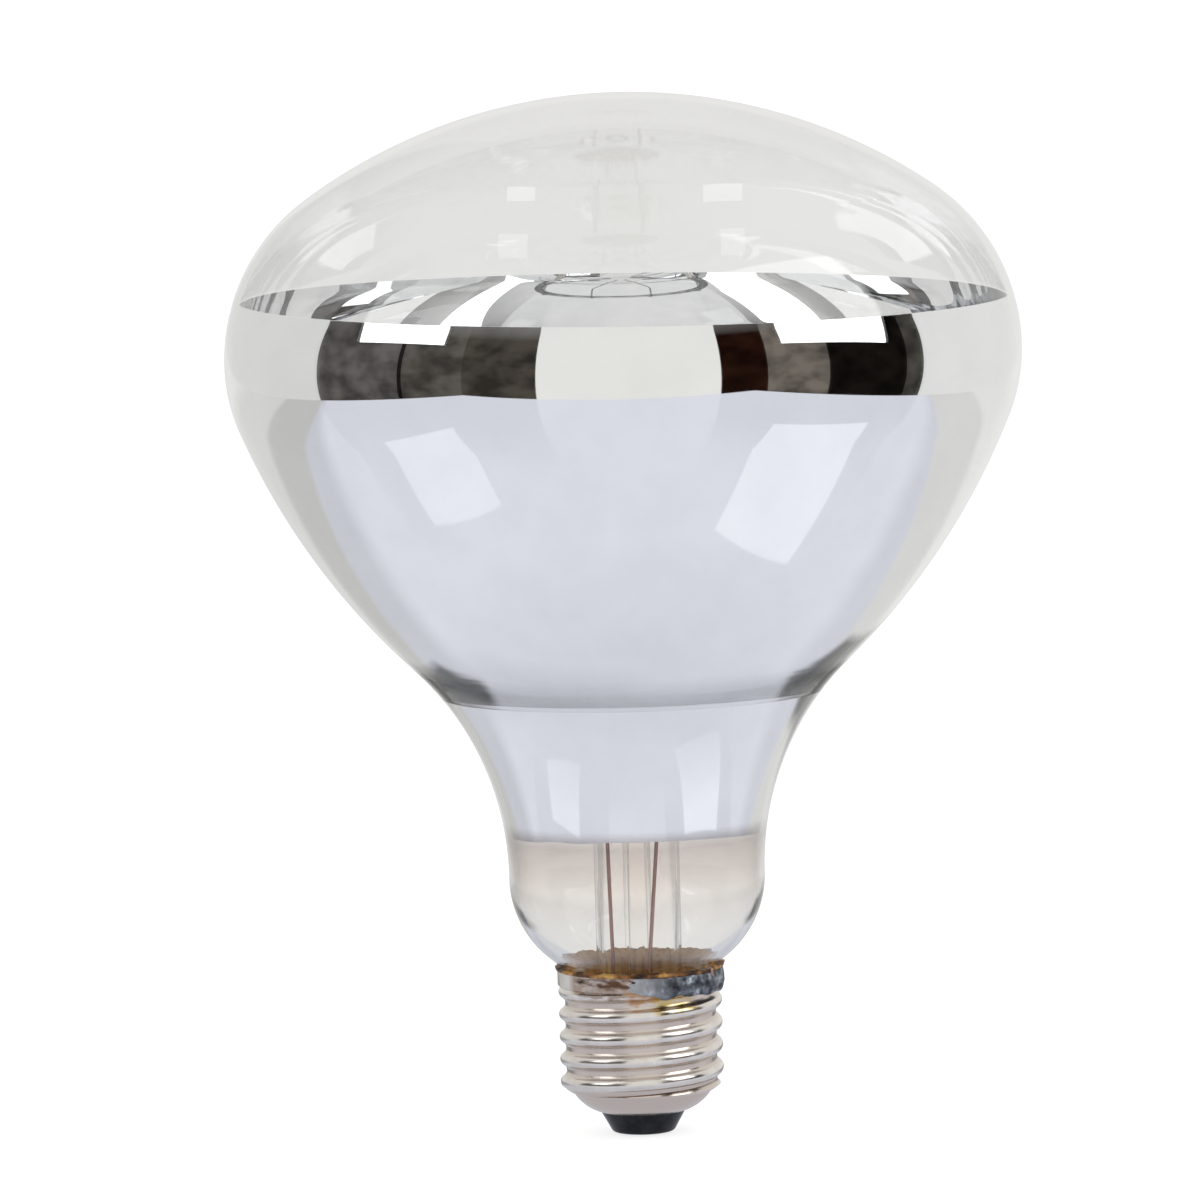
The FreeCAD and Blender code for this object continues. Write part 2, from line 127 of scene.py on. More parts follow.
def newFinish(name, **sockets):
    finish = bpy.data.materials.new(name)
    finish.use_nodes = True
    tree = finish.node_tree
    shader = tree.nodes["Principled BSDF"]
    for key, value in sockets.items():
        shader.inputs[key.replace("_", " ")].default_value = value
    place = addNode(tree, "ShaderNodeTexCoord").outputs["Object"]
    return finish, tree, shader, place


def speckle(tree, place, size, detail=4.0, stretch=(1, 1, 1)):  # noise with lumps of about that size in mm
    spread = addNode(tree, "ShaderNodeMapping", {"Vector": place, "Scale": stretch})
    made = addNode(tree, "ShaderNodeTexNoise",
                   {"Vector": spread.outputs["Vector"], "Scale": 1 / (size * mm), "Detail": detail})
    return made.outputs["Fac"]


def blendStops(tree, factor, stops, smooth="LINEAR"):  # stops are (place, colour)
    ramp = addNode(tree, "ShaderNodeValToRGB", {"Fac": factor})
    ramp.color_ramp.interpolation = smooth
    while len(ramp.color_ramp.elements) < len(stops):
        ramp.color_ramp.elements.new(1.0)
    for element, (spot, colour) in zip(ramp.color_ramp.elements, stops):
        element.position = spot
        element.color = (*colour, 1)
    return ramp.outputs["Color"]


def fromRange(tree, value, low, high, start=0.0, end=1.0):
    made = addNode(tree, "ShaderNodeMapRange", {"Value": value, "From Min": low, "From Max": high,
                                                "To Min": start, "To Max": end})
    return made.outputs["Result"]


def reckon(tree, kind, a, b=0.0):
    made = addNode(tree, "ShaderNodeMath", operation=kind)
    for socket, value in zip(made.inputs, (a, b)):
        if isinstance(value, bpy.types.NodeSocket):
            tree.links.new(value, socket)
        else:
            socket.default_value = value
    return made.outputs["Value"]


def times(tree, product, *others):
    for other in others:
        product = reckon(tree, "MULTIPLY", product, other)
    return product


def mixColours(tree, factor, a, b, kind="MIX"):
    made = addNode(tree, "ShaderNodeMix", data_type="RGBA", blend_type=kind)
    for socket, value in zip((made.inputs[0], made.inputs[6], made.inputs[7]), (factor, a, b)):
        if isinstance(value, bpy.types.NodeSocket):
            tree.links.new(value, socket)
        else:
            socket.default_value = value if isinstance(value, float) else (*value, 1)
    return made.outputs[2]


def dim(tree, colour, share):
    return mixColours(tree, 1.0, colour, share, "MULTIPLY")


def roughen(tree, shader, height, strength, distance):  # distance in mm
    bump = addNode(tree, "ShaderNodeBump",
                   {"Height": height, "Strength": strength, "Distance": distance * mm})
    tree.links.new(bump.outputs["Normal"], shader.inputs["Normal"])


def axisParts(tree, place):  # height, distance from the axis and turn about it, in metres and radians
    x, y, z = addNode(tree, "ShaderNodeSeparateXYZ", {"Vector": place}).outputs
    away = reckon(tree, "SQRT", reckon(tree, "ADD", times(tree, x, x), times(tree, y, y)))
    return z, away, reckon(tree, "ARCTAN2", y, x)


def lumpiness(spot, large, small):  # noise of two sizes in mm
    return noise.noise(spot / large) + 0.5 * noise.noise(spot / small)


def wireFinish(name, dark, light, rough):  # drawn wire, streaked along its length
    finish, tree, shader, place = newFinish(name, Metallic=1.0)
    streak = speckle(tree, place, 0.6, stretch=(1, 1, 0.12))
    tree.links.new(blendStops(tree, streak, [(0.3, dark), (0.7, light)]), shader.inputs["Base Color"])
    tree.links.new(fromRange(tree, streak, 0.3, 0.7, rough, rough + 0.18), shader.inputs["Roughness"])
    roughen(tree, shader, streak, 0.2, 0.03)
    return finish


# blown bulb, outside sizes in mm, the same arcs as the solid
bulb = {
    "crownRadius": 87.0,  # the clear face
    "upperRimRadius": 31.5,  # from the face to the widest point
    "lowerRimRadius": 28.0,
    "lowerRimTurn": 22.5,  # degrees
    "reflectorRadius": 113.0,
    "flareRadius": 47.0,  # hollow curve above the neck
    "neckRadius": 20.5,
    "neckStraight": 0.5,
    "shoulderTurn": 51.5,  # degrees
    "rimRadius": 11.8,  # glass where it enters the cap
    "shoulderSlant": 2.45,
    "sealRadius": 10.4,
    "wall": 0.95,
    "ripple": 0.03,  # unevenness of the blown wall
    "rippleLength": 26.0,
    "round": 192,
    "steps": (30, 28, 10, 26, 22, 16),  # of its arcs from the crown to the shoulder
    "endSteps": 3,
}


def bulbForm():
    b = bulb
    rimTurn = math.radians(b["lowerRimTurn"])
    shoulderTurn = math.radians(b["shoulderTurn"])
    crownZ = apexZ - b["crownRadius"]
    upperR = bulbRadius - b["upperRimRadius"]
    lowerR = bulbRadius - b["lowerRimRadius"]
    widestZ = crownZ + math.sqrt((b["crownRadius"] - b["upperRimRadius"]) ** 2 - upperR ** 2)
    across = b["reflectorRadius"] - b["lowerRimRadius"]
    reflectorR = lowerR - across * math.cos(rimTurn)
    reflectorZ = widestZ + across * math.sin(rimTurn)
    reach = b["reflectorRadius"] + b["flareRadius"]
    slopeTurn = math.acos((b["neckRadius"] + b["flareRadius"] - reflectorR) / reach)
    flareZ = reflectorZ - reach * math.sin(slopeTurn)
    shoulderZ = flareZ - b["neckStraight"]
    endR = b["rimRadius"] + b["shoulderSlant"]
    shoulderRadius = (b["neckRadius"] - endR) / (1 - math.cos(shoulderTurn))
    return {
        "widestZ": widestZ, "crownTurn": math.atan2(widestZ - crownZ, upperR),
        "rimTurn": rimTurn, "slopeTurn": slopeTurn, "shoulderTurn": shoulderTurn,
        "crown": (0, crownZ), "upperRim": (upperR, widestZ), "lowerRim": (lowerR, widestZ),
        "reflector": (reflectorR, reflectorZ), "flare": (b["neckRadius"] + b["flareRadius"], flareZ),
        "shoulder": (b["neckRadius"] - shoulderRadius, shoulderZ), "endR": endR,
        "endZ": shoulderZ - shoulderRadius * math.sin(shoulderTurn),
    }


form = bulbForm()


def bulbSection(bm, depth):  # crown to sealed end, that far below the outer surface
    turn, slope = form["shoulderTurn"], math.tan(form["shoulderTurn"])
    wallR = bulb["sealRadius"] - depth
    slopeR = form["endR"] - depth * math.cos(turn)
    slopeZ = form["endZ"] + depth * math.sin(turn)
    neckR = bulb["neckRadius"] - depth
    crown, upper, lower, reflector, flare, shoulder = bulb["steps"]
    vert = bm.verts.new((0, 0, apexZ - depth))
    vert = carryArc(bm, vert, form["crown"], form["crownTurn"] - math.pi / 2, crown)
    vert = carryArc(bm, vert, form["upperRim"], -form["crownTurn"], upper)
    vert = carryArc(bm, vert, form["lowerRim"], -form["rimTurn"], lower)
    vert = carryArc(bm, vert, form["reflector"], form["rimTurn"] - form["slopeTurn"], reflector)
    vert = carryArc(bm, vert, form["flare"], form["slopeTurn"], flare)
    vert = carryRun(bm, vert, neckR, form["shoulder"][1])
    vert = carryArc(bm, vert, form["shoulder"], -turn, shoulder)
    vert = carryRun(bm, vert, wallR, slopeZ - (slopeR - wallR) / slope, bulb["endSteps"])
    return carryRun(bm, vert, wallR, sealBottomZ, bulb["endSteps"])


def rippleWall(bm, depthLayer, outerDepth):  # both faces of a wall move together, and only inwards
    bm.normal_update()
    moves = {}
    for vert in bm.verts:
        outward = vert.normal if vert[depthLayer] <= outerDepth else -vert.normal
        wave = noise.noise(vert.co / bulb["rippleLength"])
        moves[vert] = -outward * bulb["ripple"] * (0.5 + 0.5 * wave)
    for vert, move in moves.items():
        vert.co += move


def makeBulb(finish):
    bm = bmesh.new()
    depthLayer = bm.verts.layers.float.new("depth")
    outerEnd = bulbSection(bm, 0.0)
    known = set(bm.verts)
    innerEnd = bulbSection(bm, bulb["wall"])
    for vert in bm.verts:
        vert[depthLayer] = 0.0 if vert in known else bulb["wall"]
    bm.edges.new((outerEnd, innerEnd))
    turnRound(bm, bulb["round"])
    rippleWall(bm, depthLayer, bulb["wall"] / 2)
    return finishPiece("bulb_glass", bm, finish, ["glass_envelope"])


def flareRadiusAt(height, depth):  # hollow curve above the neck, that far below the outer surface
    middleR, middleZ = form["flare"]
    return middleR - math.sqrt((bulb["flareRadius"] + depth) ** 2 - (height - middleZ) ** 2)


crease = {  # fine line in the blown wall, where the reflector meets that curve
    "drop": 4.7,  # mm below the curve's start
    "depth": 0.43,  # mm, how much further in the wall seems to run there
    "lean": 0.305,  # its climb for each step towards the axis, from the outside of the wall to the inside
}


def creaseWall(tree, shader, place):
    height, away = axisParts(tree, place)[:2]
    level = reckon(tree, "ADD", height, times(tree, away, crease["lean"]))
    topZ = form["flare"][1] + bulb["flareRadius"] * math.sin(form["slopeTurn"])
    top, low = [z + crease["lean"] * flareRadiusAt(z, 0.0) for z in (topZ, topZ - crease["drop"])]
    lower = fromRange(tree, level, top * mm, low * mm)
    roughen(tree, shader, times(tree, lower, lower, -1.0), 1.0, crease["depth"])


fog = {
    "over": 3.0,  # mm, how far it reaches up behind the silvering
    "stops": [  # from the cap's rim upwards
        (0.0, (0.985, 0.985, 0.98)), (0.3, (0.97, 0.965, 0.955)), (0.46, (0.92, 0.9, 0.878)),
        (0.6, (0.85, 0.815, 0.793)), (0.74, (0.775, 0.737, 0.715)), (0.84, (0.715, 0.69, 0.677)),
        (0.95, (1.0, 1.0, 0.997)),
    ],
}


def bulbGlassFinish():  # clear, with a warm fog on the neck under the silvering
    finish, tree, shader, place = newFinish("bulbGlass", Transmission_Weight=1.0, Roughness=0.0, IOR=1.5)
    height = axisParts(tree, place)[0]
    up = fromRange(tree, height, capRimZ * mm, (silverBottomZ + fog["over"]) * mm)
    streak = speckle(tree, place, 14.0, stretch=(1, 1, 0.35))
    film = blendStops(tree, streak, [(0.35, (0.994, 0.994, 0.99)), (0.65, (1.0, 1.0, 1.0))])
    tree.links.new(dim(tree, blendStops(tree, up, fog["stops"]), film), shader.inputs["Base Color"])
    creaseWall(tree, shader, place)
    return finish


# silvering inside the bulb
silvering = {
    "film": 0.15,  # mm
    "gap": 0.05,  # off the glass
    "topTilt": 0.85,  # how far its upper edge is raised on the left and lowered on the right
    "topFade": 9.0,  # height over which that edge is pulled about
    "edgeRaise": 0.2,  # of its lower edge at the front and back
    "edgeDrop": 0.8,  # how far that edge falls at the two sides
    "edgeWave": 0.25,
    "edgeWaveLength": 6.0,
    "edgeFade": 7.0,
    "edgeDull": (-1.5, 1.0),  # from that edge, where it turns from dull to bright
    "steps": (10, 12, 32, 30),  # of its arcs from the rim to the neck
}


def rimRadiusAt(height, depth):  # rim above the widest point, that far below the outer surface
    middleR, middleZ = form["upperRim"]
    return middleR + math.sqrt((bulb["upperRimRadius"] - depth) ** 2 - (height - middleZ) ** 2)


def silverSection(bm, depth):
    up = silverTopZ - form["widestZ"]
    radius = bulb["upperRimRadius"] - depth
    topTurn = math.asin(up / radius)
    lowTurn = math.asin((silverBottomZ - form["flare"][1]) / (bulb["flareRadius"] + depth))
    startR = form["upperRim"][0] + radius * math.cos(topTurn)
    upper, lower, reflector, flare = silvering["steps"]
    first = vert = bm.verts.new((startR, 0, silverTopZ))
    vert = carryArc(bm, vert, form["upperRim"], -topTurn, upper)
    vert = carryArc(bm, vert, form["lowerRim"], -form["rimTurn"], lower)
    vert = carryArc(bm, vert, form["reflector"], form["rimTurn"] - form["slopeTurn"], reflector)
    vert = carryArc(bm, vert, form["flare"], form["slopeTurn"] - lowTurn, flare)
    return first, vert


def makeSilvering(finish):
    s = silvering
    outside = bulb["wall"] + s["gap"]
    inside = outside + s["film"]
    bm = bmesh.new()
    depthLayer = bm.verts.layers.float.new("depth")
    outerTop, outerEnd = silverSection(bm, outside)
    known = set(bm.verts)
    innerTop, innerEnd = silverSection(bm, inside)
    for vert in bm.verts:
        vert[depthLayer] = outside if vert in known else inside
    bm.edges.new((outerTop, innerTop))
    bm.edges.new((outerEnd, innerEnd))
    turnRound(bm, bulb["round"])
    for vert in bm.verts:
        low = 1 - (vert.co.z - silverBottomZ) / s["edgeFade"]
        top = 1 - (silverTopZ - vert.co.z) / s["topFade"]
        away = math.hypot(vert.co.x, vert.co.y)
        across = vert.co.x / away
        if low > 0:
            wave = noise.noise(Vector((vert.co.x, vert.co.y, 0)) / s["edgeWaveLength"])
            height = vert.co.z + low * (s["edgeRaise"] - s["edgeDrop"] * across ** 2 + s["edgeWave"] * wave)
            out = flareRadiusAt(height, vert[depthLayer]) / away
        elif top > 0:
            height = vert.co.z - top * s["topTilt"] * across
            out = rimRadiusAt(height, vert[depthLayer]) / away
        else:
            continue
        vert.co = Vector((vert.co.x * out, vert.co.y * out, height))
    rippleWall(bm, depthLayer, outside + s["film"] / 2)
    return finishPiece("silvering", bm, finish, ["reflector_coating"])


def silveringFinish():
    finish, tree, shader, place = newFinish("silveredFilm", Metallic=1.0)
    cloud = speckle(tree, place, 9.0, detail=5.0)
    tone = blendStops(tree, cloud, [(0.35, (0.9, 0.905, 0.915)), (0.65, (0.935, 0.94, 0.945))])
    height = axisParts(tree, place)[0]
    edge = fromRange(tree, height, *[(silverBottomZ + up) * mm for up in silvering["edgeDull"]])
    tree.links.new(mixColours(tree, edge, (0.62, 0.61, 0.6), tone), shader.inputs["Base Color"])
    tree.links.new(fromRange(tree, cloud, 0.3, 0.7, 0.0, 0.03), shader.inputs["Roughness"])
    creaseWall(tree, shader, place)
    return finish


# coiled filament on its ring
coil = {
    "wire": 0.2,  # mm
    "pitch": 0.48,
    "gapTurn": 80.0,  # degrees left open at the back
    "pointsPerTurn": 14,
}


def makeFilament(finish):
    low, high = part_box("filament")
    fat = (high.z - low.z) / 2
    ring = -low.y - fat
    middleZ = (high.z + low.z) / 2
    wire = coil["wire"] / 2 * mm
    sweep = math.tau - math.radians(coil["gapTurn"])
    start = math.pi / 2 + math.radians(coil["gapTurn"]) / 2
    turns = round(ring * sweep / (coil["pitch"] * mm))
    count = turns * coil["pointsPerTurn"]
    curve = bpy.data.curves.new("filament_coil", "CURVE")
    curve.dimensions = "3D"
    curve.bevel_depth = wire
    curve.bevel_resolution = 1
    curve.use_fill_caps = True
    spline = curve.splines.new("POLY")
    spline.points.add(count)
    for i, point in enumerate(spline.points):
        turn = start + sweep * i / count
        twist = math.tau * turns * i / count
        away = ring + (fat - wire) * math.cos(twist)
        height = middleZ + (fat - wire) * math.sin(twist)
        point.co = (away * math.cos(turn), away * math.sin(turn), height, 1)
    curve.materials.append(finish)
    return placePiece(bpy.data.objects.new("filament_coil", curve), ["filament"])


# basing cement with its burnt bead over the cap's rim
cement = {
    "wall": 0.35,  # mm, the cap's sheet
    "foot": 2.0,  # below the rim
    "clear": -0.1,  # sunk into the glass that it wets
    "paintedLightDepth": 0.06,  # of that, where the painted light on its face inside the glass shows in full
    "bulge": 0.3,  # beyond the collar
    "climb": 0.65,  # up the glass
    "rimGap": 0.1,  # below the rim, where it leaves the sheet
    "rimSeat": (0.05, 0.02),  # inside the collar and over the rim
    "bead": [  # share of the bulge, height over the rim, share of the raggedness
        (0.7, 0.1, 0.25), (1.0, 0.3, 0.5), (0.9, 0.5, 0.8),
    ],
    "lip": (0.25, 0.02),  # thickness and drop of its upper edge
    "ragged": 0.5,
    "lumpSizes": (2.6, 0.9),
    "round": 240,
}


def glassRadiusAt(height):  # where the glass slopes into the cap
    return bulb["rimRadius"] + (height - capRimZ) * math.tan(form["shoulderTurn"])


def makeCement(finish):
    c = cement
    slope = math.tan(form["shoulderTurn"])
    sealR = bulb["sealRadius"] + c["clear"]
    sealTop = capRimZ - (bulb["rimRadius"] - bulb["sealRadius"]) / slope
    foot = capRimZ - c["foot"]
    tip = capRimZ + c["climb"]
    bm = bmesh.new()
    beadLayer = bm.verts.layers.float.new("bead")
    sheetR = collarRadius - c["wall"]
    tipR = glassRadiusAt(tip) + c["clear"]
    (inside, over), (lip, lipDrop) = c["rimSeat"], c["lip"]
    outline = [  # radius, height, share of the bead's raggedness
        (sealR, foot, 0.0), (sheetR, foot, 0.0), (sheetR, capRimZ - c["rimGap"], 0.0),
        (collarRadius - inside, capRimZ + over, 0.0),
        *[(collarRadius + c["bulge"] * out, capRimZ + up, share) for out, up, share in c["bead"]],
        (tipR + lip, tip - lipDrop, 1.0), (tipR, tip, 1.0),
        (glassRadiusAt(capRimZ) + c["clear"], capRimZ, 0.0), (sealR, sealTop, 0.0),
    ]
    ring = []
    for radius, height, share in outline:
        vert = bm.verts.new((radius, 0, height))
        vert[beadLayer] = share
        ring.append(vert)
    for a, b in zip(ring, ring[1:] + ring[:1]):
        bm.edges.new((a, b))
    turnRound(bm, c["round"])
    for vert in bm.verts:
        share = vert[beadLayer]
        if share == 0:
            continue
        flat = Vector((vert.co.x, vert.co.y, 0))
        rise = share * c["ragged"] * lumpiness(flat, *c["lumpSizes"])
        away = flat.length
        out = (away + rise * slope) / away
        vert.co = Vector((vert.co.x * out, vert.co.y * out, vert.co.z + rise))
    return finishPiece("cement_bead", bm, finish, ["basing_cement"], 60.0)


def cementFinish():  # resin burnt gold, brown and nearly black, with painted light: paler on its face inside the glass
    finish, tree, shader, place = newFinish("burntCement", Coat_Weight=0.1, Coat_Roughness=0.25,
                                            Specular_IOR_Level=0.2)
    patch = speckle(tree, place, 2.4, detail=6.0)
    tone = blendStops(tree, patch, [
        (0.3, (0.02, 0.011, 0.008)), (0.44, (0.1, 0.042, 0.015)), (0.54, (0.34, 0.15, 0.045)),
        (0.66, (0.62, 0.36, 0.1)), (0.8, (0.36, 0.24, 0.15)),
    ])
    height, away = axisParts(tree, place)[:2]
    climb = times(tree, reckon(tree, "SUBTRACT", height, capRimZ * mm), math.tan(form["shoulderTurn"]))
    glassR = reckon(tree, "ADD", climb, bulb["rimRadius"] * mm)
    glassR = reckon(tree, "MAXIMUM", glassR, bulb["sealRadius"] * mm)
    # painted light: the face sunk in the glass gets a paler, brighter colour in place of the light that
    # hardly reaches it there
    paintedLightFace = fromRange(tree, reckon(tree, "SUBTRACT", away, glassR), 0.0, -cement["paintedLightDepth"] * mm)
    streaks = speckle(tree, place, 1.5, detail=6.0, stretch=(1, 1, 0.15))
    pale = blendStops(tree, streaks, [
        (0.32, (0.62, 0.3, 0.1)), (0.5, (0.98, 0.58, 0.25)), (0.7, (1.0, 0.75, 0.42)),
    ])
    tree.links.new(mixColours(tree, paintedLightFace, tone, pale), shader.inputs["Base Color"])
    tree.links.new(fromRange(tree, patch, 0.3, 0.7, 0.35, 0.65), shader.inputs["Roughness"])
    roughen(tree, shader, speckle(tree, place, 0.5, detail=6.0), 0.5, 0.15)
    return finish


# solder smeared over the side lead
smear = {
    "start": -96.0,  # degrees, 0 on the right and -90 at the front
    "end": 10.0,
    "bottom": 23.2,  # mm
    "thick": 0.42,
    "lumps": 0.3,
    "lumpSizes": (2.2, 0.8),
    "over": 0.1,  # above the cap's rim
    "sunk": 0.1,  # into the collar
    "skin": 0.02,  # least cover off the collar
    "bulgePower": 0.6,
    "leadTurn": -32.0,  # the lead lies under a blob here
    "leadBlob": 0.45,
    "leadWidth": 6.0,
    "taper": 26.0,  # degrees of each end over which it thins out
    "fray": 9.0,  # how far the ends are drawn out in places
    "frayLength": 0.9,  # mm
    "edgeWave": 0.9,  # of its lower edge
    "edgeWaveLength": 3.4,
    "endRise": 1.6,  # how far that edge climbs at the ends
    "thinTurn": 30.0,  # degrees at its left end where it is paler
    "thinShare": 0.75,
    "steps": 150,
    "rows": 22,
}


def makeSolder(finish):
    s = smear
    top = capRimZ + s["over"]
    bm = bmesh.new()
    skinLayer = bm.verts.layers.float.new("skin")
    sweep = math.radians(s["end"] - s["start"])
    foot = bm.verts.new((collarRadius - s["sunk"], 0, s["bottom"]))
    last = foot
    for i in range(s["rows"] + 1):
        share = i / s["rows"]
        last = carryRun(bm, last, collarRadius + s["skin"], s["bottom"] + (top - s["bottom"]) * share)
        last[skinLayer] = math.sin(math.pi * share) ** s["bulgePower"] + 0.001
    last = carryRun(bm, last, collarRadius - s["sunk"], top)
    bm.edges.new((last, foot))
    bmesh.ops.spin(bm, geom=bm.verts[:] + bm.edges[:], cent=(0, 0, 0), axis=(0, 0, 1), angle=sweep,
                   steps=s["steps"], use_merge=False, use_duplicate=False)
    bmesh.ops.rotate(bm, verts=bm.verts, cent=(0, 0, 0),
                     matrix=Matrix.Rotation(math.radians(s["start"]), 3, "Z"))
    bmesh.ops.holes_fill(bm, edges=[e for e in bm.edges if e.is_boundary], sides=0)
    bmesh.ops.recalc_face_normals(bm, faces=bm.faces)
    for vert in bm.verts:
        turn = math.degrees(math.atan2(vert.co.y, vert.co.x))
        ends = min(turn - s["start"], s["end"] - turn) / s["taper"]
        ends = max(0.0, min(1.0, ends)) ** 0.5
        lump = lumpiness(vert.co, *s["lumpSizes"])
        blob = s["leadBlob"] * math.exp(-((turn - s["leadTurn"]) / s["leadWidth"]) ** 2)
        thick = vert[skinLayer] * ends * (s["thick"] + s["lumps"] * lump + blob)
        fray = math.radians(s["fray"]) * (1 - ends) * noise.noise(Vector((0, 0, vert.co.z)) / s["frayLength"])
        vert.co.rotate(Matrix.Rotation(fray, 3, "Z"))
        away = math.hypot(vert.co.x, vert.co.y)
        low = 1 - (vert.co.z - s["bottom"]) / (top - s["bottom"])
        wave = noise.noise(Vector((vert.co.x, vert.co.y, 3)) / s["edgeWaveLength"])
        edge = low * (s["edgeWave"] * wave + (1 - ends) * s["endRise"])
        out = (away + max(thick, -s["skin"])) / away
        vert.co = Vector((vert.co.x * out, vert.co.y * out, vert.co.z + edge))
    return finishPiece("solder_smear", bm, finish, ["side_solder"], 60.0)


def solderFinish():
    finish, tree, shader, place = newFinish("dullSolder", Metallic=0.9)
    patch = speckle(tree, place, 1.3, detail=6.0)
    tone = blendStops(tree, patch, [
        (0.32, (0.03, 0.032, 0.036)), (0.48, (0.11, 0.122, 0.14)),
        (0.6, (0.24, 0.265, 0.3)), (0.74, (0.64, 0.68, 0.74)),
    ])
    turn = axisParts(tree, place)[2]
    first, last = math.radians(smear["start"]), math.radians(smear["start"] + smear["thinTurn"])
    thin = fromRange(tree, turn, first, last, smear["thinShare"], 0.0)
    tree.links.new(mixColours(tree, thin, tone, (0.6, 0.61, 0.63)), shader.inputs["Base Color"])
    tree.links.new(fromRange(tree, patch, 0.3, 0.7, 0.55, 0.3), shader.inputs["Roughness"])
    roughen(tree, shader, speckle(tree, place, 0.45, detail=5.0), 0.6, 0.2)
    return finish


# finishes of the CAD solids that stay
plating = {
    "groove": (12.1, 12.9),  # mm from the axis, brown floor and bright crest
    "stainLift": 1.2,  # mm up and down
    "stainSoft": (0.25, 0.06),  # mm and radians
    "stainBreak": (0.36, 0.54),  # of the noise that breaks them up
}
stains = [  # burnt flux on the cap: heights in mm, degrees round the axis, colour, least and most strength
    ((23.4, 26.8), (-146, -74), (0.42, 0.31, 0.235), (0.55, 0.9)),
    ((25.2, 26.6), (-128, -80), (0.13, 0.065, 0.035), (0.15, 0.95)),
    ((22.4, 24.8), (-100, -74), (0.5, 0.27, 0.12), (0.3, 0.9)),
    ((20.8, 23.1), (-80, -46), (0.7, 0.52, 0.17), (0.25, 0.85)),
    ((25.5, 26.4), (-140, -131), (0.05, 0.025, 0.015), (0.5, 0.95)),
]


def insideBand(tree, value, low, high, soft):
    rise = fromRange(tree, value, low - soft, low + soft)
    return times(tree, rise, fromRange(tree, value, high + soft, high - soft))


def nickelFinish():  # rolled sheet, satin, with brown in the grooves and burnt flux on the collar
    finish, tree, shader, place = newFinish("nickelSheet", Metallic=1.0)
    height, away, turn = axisParts(tree, place)
    cloud = speckle(tree, place, 3.0, detail=6.0)
    tone = blendStops(tree, cloud, [(0.3, (0.76, 0.712, 0.66)), (0.7, (0.91, 0.865, 0.81))])
    groove = fromRange(tree, away, *[radius * mm for radius in plating["groove"]])
    tone = mixColours(tree, groove, (0.7, 0.615, 0.545), tone)
    ragged = speckle(tree, place, 2.2, detail=6.0, stretch=(1, 1, 2.5))
    lift = plating["stainLift"] * mm
    lifted = reckon(tree, "ADD", height, fromRange(tree, ragged, 0.0, 1.0, -lift, lift))
    softUp, softRound = plating["stainSoft"]
    for heights, turns, colour, strengths in stains:
        high = insideBand(tree, lifted, heights[0] * mm, heights[1] * mm, softUp * mm)
        around = insideBand(tree, turn, math.radians(turns[0]), math.radians(turns[1]), softRound)
        patchy = fromRange(tree, ragged, *plating["stainBreak"], *strengths)
        tone = mixColours(tree, times(tree, high, around, patchy), tone, colour)
    tree.links.new(tone, shader.inputs["Base Color"])
    tree.links.new(fromRange(tree, cloud, 0.3, 0.7, 0.14, 0.28), shader.inputs["Roughness"])
    roughen(tree, shader, speckle(tree, place, 0.8, detail=3.0, stretch=(0.3, 0.3, 1.6)), 0.12, 0.05)
    return finish


def blackGlassFinish():
    finish, tree, shader, place = newFinish("blackGlass", Specular_IOR_Level=0.18)
    cloud = speckle(tree, place, 1.6, detail=5.0)
    tone = blendStops(tree, cloud, [(0.35, (0.006, 0.006, 0.007)), (0.7, (0.02, 0.02, 0.024))])
    tree.links.new(tone, shader.inputs["Base Color"])
    tree.links.new(fromRange(tree, cloud, 0.3, 0.7, 0.16, 0.34), shader.inputs["Roughness"])
    roughen(tree, shader, cloud, 0.25, 0.1)
    return finish


def brassFinish():
    finish, tree, shader, place = newFinish("stampedBrass", Metallic=1.0)
    cloud = speckle(tree, place, 1.2, detail=6.0)
    tone = blendStops(tree, cloud, [(0.3, (0.5, 0.37, 0.17)), (0.7, (0.76, 0.62, 0.34))])
    tree.links.new(tone, shader.inputs["Base Color"])
    tree.links.new(fromRange(tree, cloud, 0.3, 0.7, 0.42, 0.24), shader.inputs["Roughness"])
    roughen(tree, shader, speckle(tree, place, 0.2, stretch=(1, 6, 1)), 0.15, 0.03)
    return finish


def stemGlassFinish():
    finish, tree, shader, place = newFinish("stemGlass", Transmission_Weight=1.0, Roughness=0.0, IOR=1.12)
    streak = speckle(tree, place, 3.0, stretch=(1, 1, 0.15))
    tone = blendStops(tree, streak, [(0.35, (0.996, 0.985, 0.978)), (0.65, (1.0, 0.996, 0.99))])
    tree.links.new(tone, shader.inputs["Base Color"])
    return finish


def dressSolids(solder):
    stemGlass = stemGlassFinish()
    copper = wireFinish("copperWire", (0.42, 0.23, 0.19), (0.66, 0.42, 0.36), 0.3)
    molybdenum = wireFinish("molybdenumWire", (0.36, 0.36, 0.38), (0.56, 0.56, 0.58), 0.25)
    nickelWire = wireFinish("nickelWire", (0.46, 0.44, 0.41), (0.68, 0.66, 0.62), 0.22)
    worn = {
        "glass_stem": stemGlass, "exhaust_tube": stemGlass, "button_rod": stemGlass,
        "inner_lead_left": nickelWire, "inner_lead_right": nickelWire,
        "seal_wire_left": copper, "seal_wire_right": copper,
        "outer_lead_centre": copper, "outer_lead_side": copper,
        "cap_shell": nickelFinish(), "cap_insulator": blackGlassFinish(),
        "centre_contact": brassFinish(), "contact_solder": solder,
    }
    for i in range(4):
        worn["support_wire_" + str(i + 1)] = molybdenum
    for name, finish in worn.items():
        nodes[name].data.materials.clear()
        nodes[name].data.materials.append(finish)
    print("solids dressed:", len(worn))


solder = solderFinish()
makeBulb(bulbGlassFinish())
makeSilvering(silveringFinish())
makeFilament(wireFinish("tungstenWire", (0.2, 0.2, 0.21), (0.4, 0.4, 0.42), 0.3))
makeCement(cementFinish())
makeSolder(solder)
dressSolids(solder)


